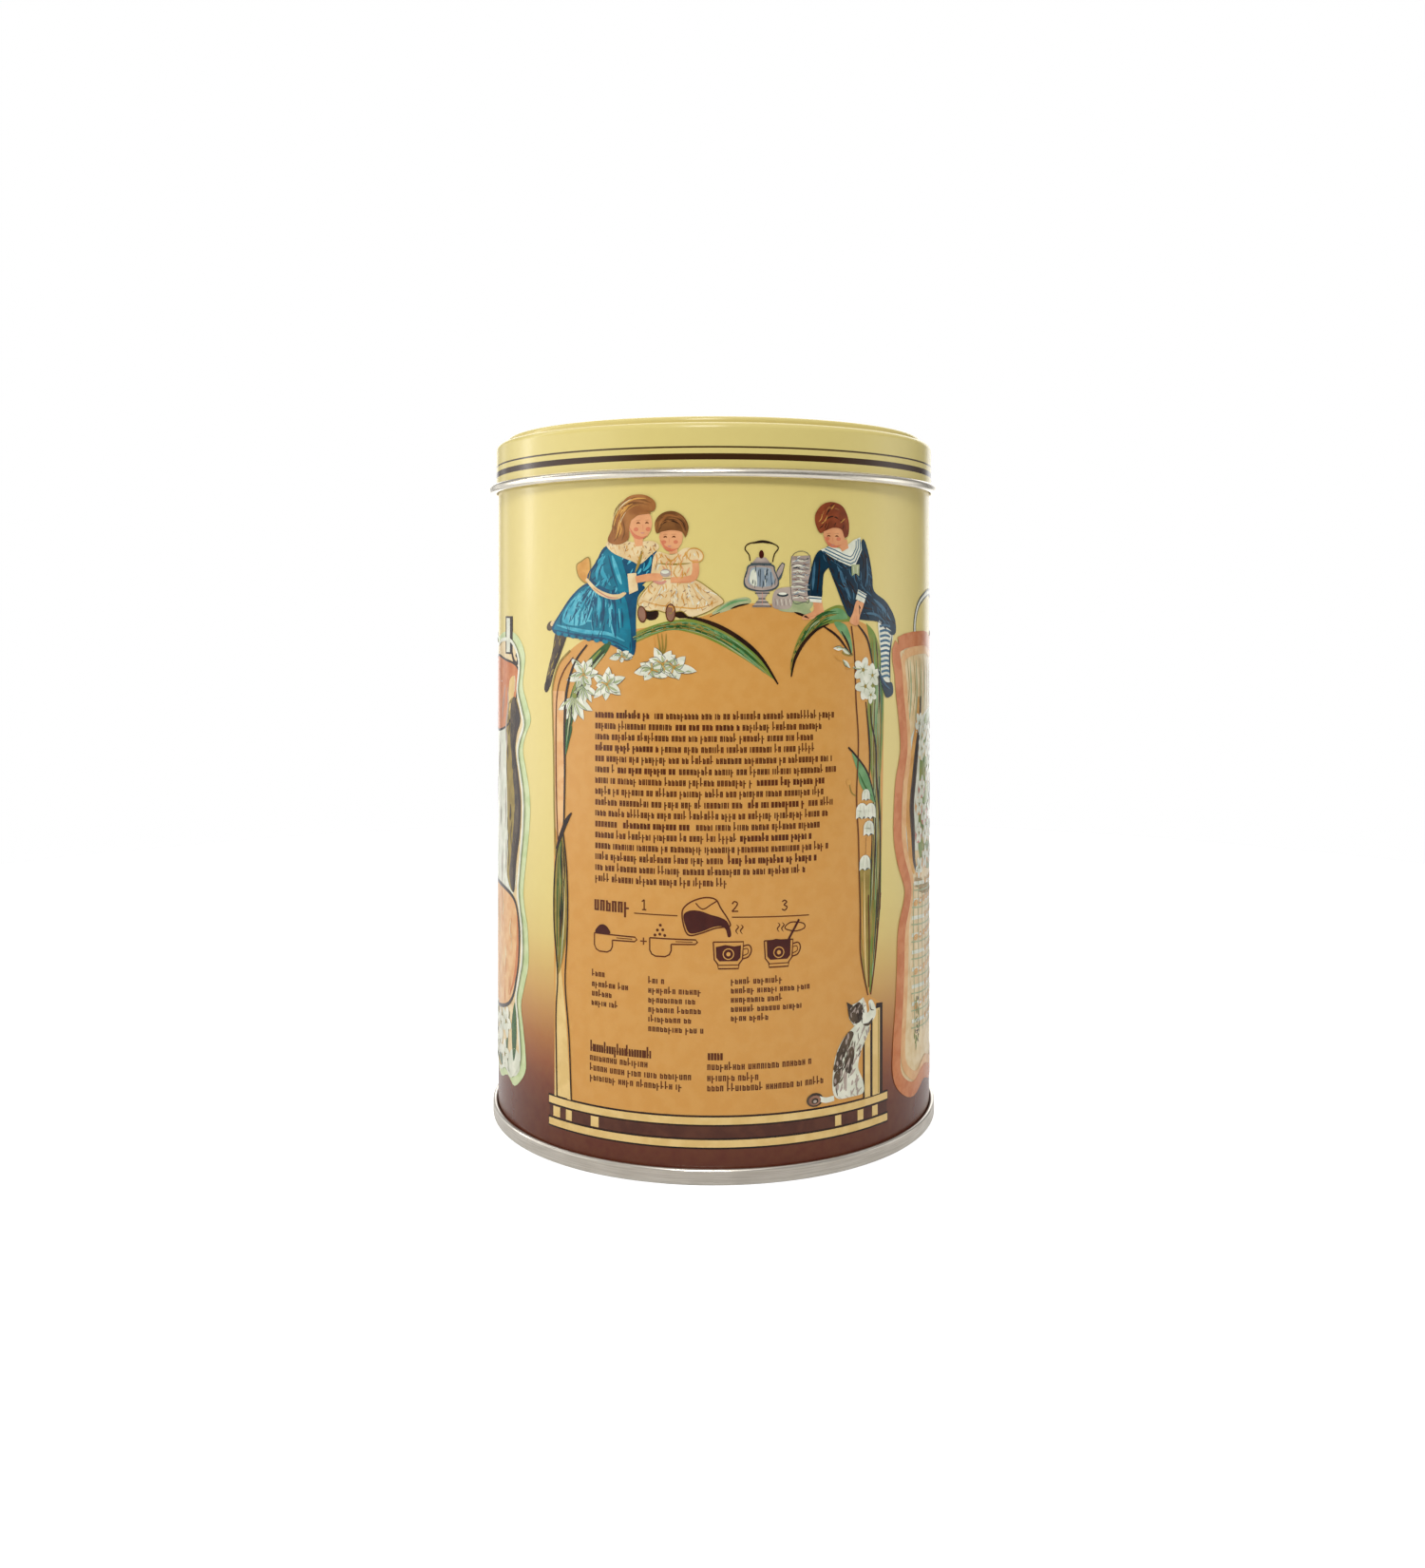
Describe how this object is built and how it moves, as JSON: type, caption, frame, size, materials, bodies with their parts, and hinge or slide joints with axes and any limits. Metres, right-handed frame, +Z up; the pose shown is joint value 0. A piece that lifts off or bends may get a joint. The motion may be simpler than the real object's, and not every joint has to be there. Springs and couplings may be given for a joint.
{
  "type": "lithographed tin",
  "caption": "Round printed tinplate tin with a lift-off slip lid that has a rolled hem and a stacking bead, over a body with a double-seamed base.",
  "frame": {"origin": "middle of the base, on the plane that the foot of the double seam stands on", "axes": "+Z up along the tin's axis, -Y towards the front of the printed design"},
  "size_m": [0.103, 0.103, 0.1524],
  "materials": {
    "printed_lid": "gloss",
    "printed_body": "gloss",
    "bare_tinplate": "satin",
    "compound": "matte"
  },
  "bodies": {
    "tin": {"body_shell": "printed_body", "base_end": "bare_tinplate", "seam_compound": "compound"},
    "lid": {"lid_shell": "printed_lid"}
  },
  "joints": [
    {"name": "lid_lift", "type": "slide", "parent": "tin", "child": "lid", "axis": [0, 0, 1], "range_m": [0, 0.06]}
  ]
}
